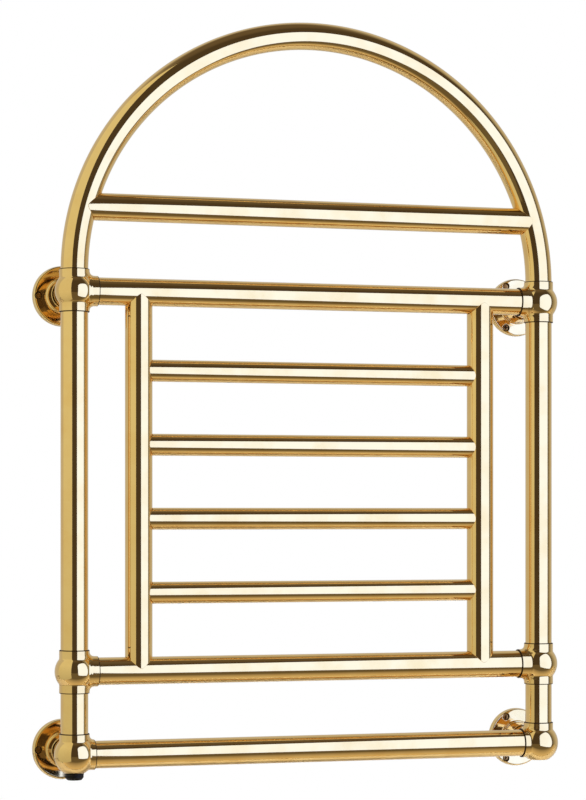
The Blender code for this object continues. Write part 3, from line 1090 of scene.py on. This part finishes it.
def graded_glow(name, colour, way, start, stop):
    """Glow whose strength changes along a direction. start and stop are each (place, strength)."""
    material = glow(name, colour, 1.0)
    tree = material.node_tree
    emission = tree.nodes["Emission"]
    place = add_node(tree, "ShaderNodeTexCoord").outputs["Object"]
    along = add_node(tree, "ShaderNodeVectorMath", operation="DOT_PRODUCT")
    tree.links.new(place, along.inputs[0])
    along.inputs[1].default_value = way
    strength = remap(tree, along.outputs["Value"], start[0], stop[0], start[1], stop[1])
    tree.links.new(strength, emission.inputs["Strength"])
    return material


def upright_corners(first, second, low, high):
    """The corners of an upright rectangle that stands on the line between two plan points."""
    return [(*first, low), (*second, low), (*second, high), (*first, high)]


def softbox_corners(first, second, low, high, squareness=4.0, count=48):
    """The same rectangle with its corners rounded off, as a superellipse."""
    corners = []
    for i in range(count):
        angle = 2 * math.pi * i / count
        shares = []
        for value in (math.cos(angle), math.sin(angle)):
            shares.append(0.5 + 0.5 * math.copysign(abs(value) ** (2 / squareness), value))
        x = first[0] + shares[0] * (second[0] - first[0])
        y = first[1] + shares[0] * (second[1] - first[1])
        corners.append((x, y, low + shares[1] * (high - low)))
    return corners


def make_floor():
    """A pale floor whose far edge fades into the white behind it."""
    floor_z = -0.40
    reach = 2.5
    material, tree, shader = new_material("floor_paint")
    place = add_node(tree, "ShaderNodeTexCoord").outputs["Object"]
    mottle = noise(tree, place, 6.0, 4.0, 0.6)
    pale = blended(tree, mottle, (0.80, 0.79, 0.77), (0.85, 0.84, 0.82))
    tree.links.new(pale, shader.inputs["Base Color"])
    shader.inputs["Roughness"].default_value = 0.8
    count = 96
    turns = [2 * math.pi * i / count for i in range(count)]
    panel("floor", [(reach * math.cos(a), reach * math.sin(a), floor_z) for a in turns], material, True)

    fade = glow("floor_fade", (1.0, 1.0, 1.0), 1.0)
    tree = fade.node_tree
    place = add_node(tree, "ShaderNodeTexCoord").outputs["Object"]
    radius = add_node(tree, "ShaderNodeVectorMath", operation="LENGTH")
    tree.links.new(place, radius.inputs[0])
    clear = add_node(tree, "ShaderNodeBsdfTransparent")
    mix = add_node(tree, "ShaderNodeMixShader")
    tree.links.new(remap(tree, radius.outputs["Value"], 0.7, 2.2, 0.0, 1.0), mix.inputs["Fac"])
    tree.links.new(clear.outputs["BSDF"], mix.inputs[1])
    tree.links.new(tree.nodes["Emission"].outputs["Emission"], mix.inputs[2])
    tree.links.new(mix.outputs["Shader"], tree.nodes["Material Output"].inputs["Surface"])
    edge = reach + 0.01
    veil_z = floor_z + 0.002
    rim = [(edge * math.cos(a), edge * math.sin(a), veil_z) for a in turns]
    veil = panel("floor_edge", rim, fade, True)
    only_for_camera(veil)


def only_for_camera(obj):
    obj.visible_diffuse = False
    obj.visible_glossy = False
    obj.visible_transmission = False
    obj.visible_shadow = False


def make_stage():
    """White backdrop, softbox at the right, a glowing reflector card at the left and, in front, a glowing
    sheet over the floor with painted light and shade.
    """
    make_floor()
    bm = bmesh.new()
    bmesh.ops.create_icosphere(bm, subdivisions=4, radius=26.0)
    mesh = bpy.data.meshes.new("backdrop")
    bm.to_mesh(mesh)
    bm.free()
    mesh.materials.append(glow("backdrop_white", (1.0, 1.0, 1.0), 1.0))
    backdrop = bpy.data.objects.new("backdrop", mesh)
    bpy.context.scene.collection.objects.link(backdrop)
    only_for_camera(backdrop)

    panel(
        "softbox",
        softbox_corners((-0.03, -1.56), (1.30, -0.56), -0.52, 1.48),
        glow("softbox_white", (1.14, 1.61, 3.50), 1.0),
    )
    # The reflector card glows with painted light, brighter towards the top, rather than reflecting the
    # lamps.
    panel(
        "reflector",
        upright_corners((-0.64, -0.68), (-1.20, 0.30), -0.38, 2.4),
        graded_glow("reflector_card_glow", (1.0, 1.05, 0.92), UP, (-0.3, 0.58), (0.5, 0.78)),
    )
    # Painted floor light and shade, seen only in reflections: bright near the rack, fading to dark further
    # in front.
    falloff_z = -0.37
    panel(
        "front_floor_falloff",
        [(-2.5, -4.0, falloff_z), (3.0, -4.0, falloff_z), (3.0, -0.15, falloff_z), (-2.5, -0.15, falloff_z)],
        graded_glow("painted_floor_falloff", (1.0, 0.90, 0.70), FRONT, (0.15, 0.78), (0.65, 0.15)),
    )

    lamp = bpy.data.lights.new("overhead", "AREA")
    lamp.shape = "DISK"
    lamp.size = 1.2
    lamp.energy = 80.0
    overhead = bpy.data.objects.new("overhead", lamp)
    overhead.location = (0.2, -1.0, 2.6)
    overhead.rotation_euler = (math.radians(20.0), 0.0, 0.0)
    overhead.visible_glossy = False
    bpy.context.scene.collection.objects.link(overhead)


def make_camera():
    data = bpy.data.cameras.new("camera")
    camera = bpy.data.objects.new("camera", data)
    bpy.context.scene.collection.objects.link(camera)
    data.sensor_width = 36.0
    data.lens = 108.41
    data.shift_x = -0.0015
    data.shift_y = 0.1434
    camera.location = (-0.8824, -3.0894, 0.3038)
    camera.rotation_euler = (math.radians(90.0), 0.0, math.radians(-15.93))
    bpy.context.scene.camera = camera


make_tubes()
make_joints()
make_brackets()
make_underside()
make_world()
make_stage()
make_camera()
bpy.context.scene.view_settings.view_transform = "Standard"
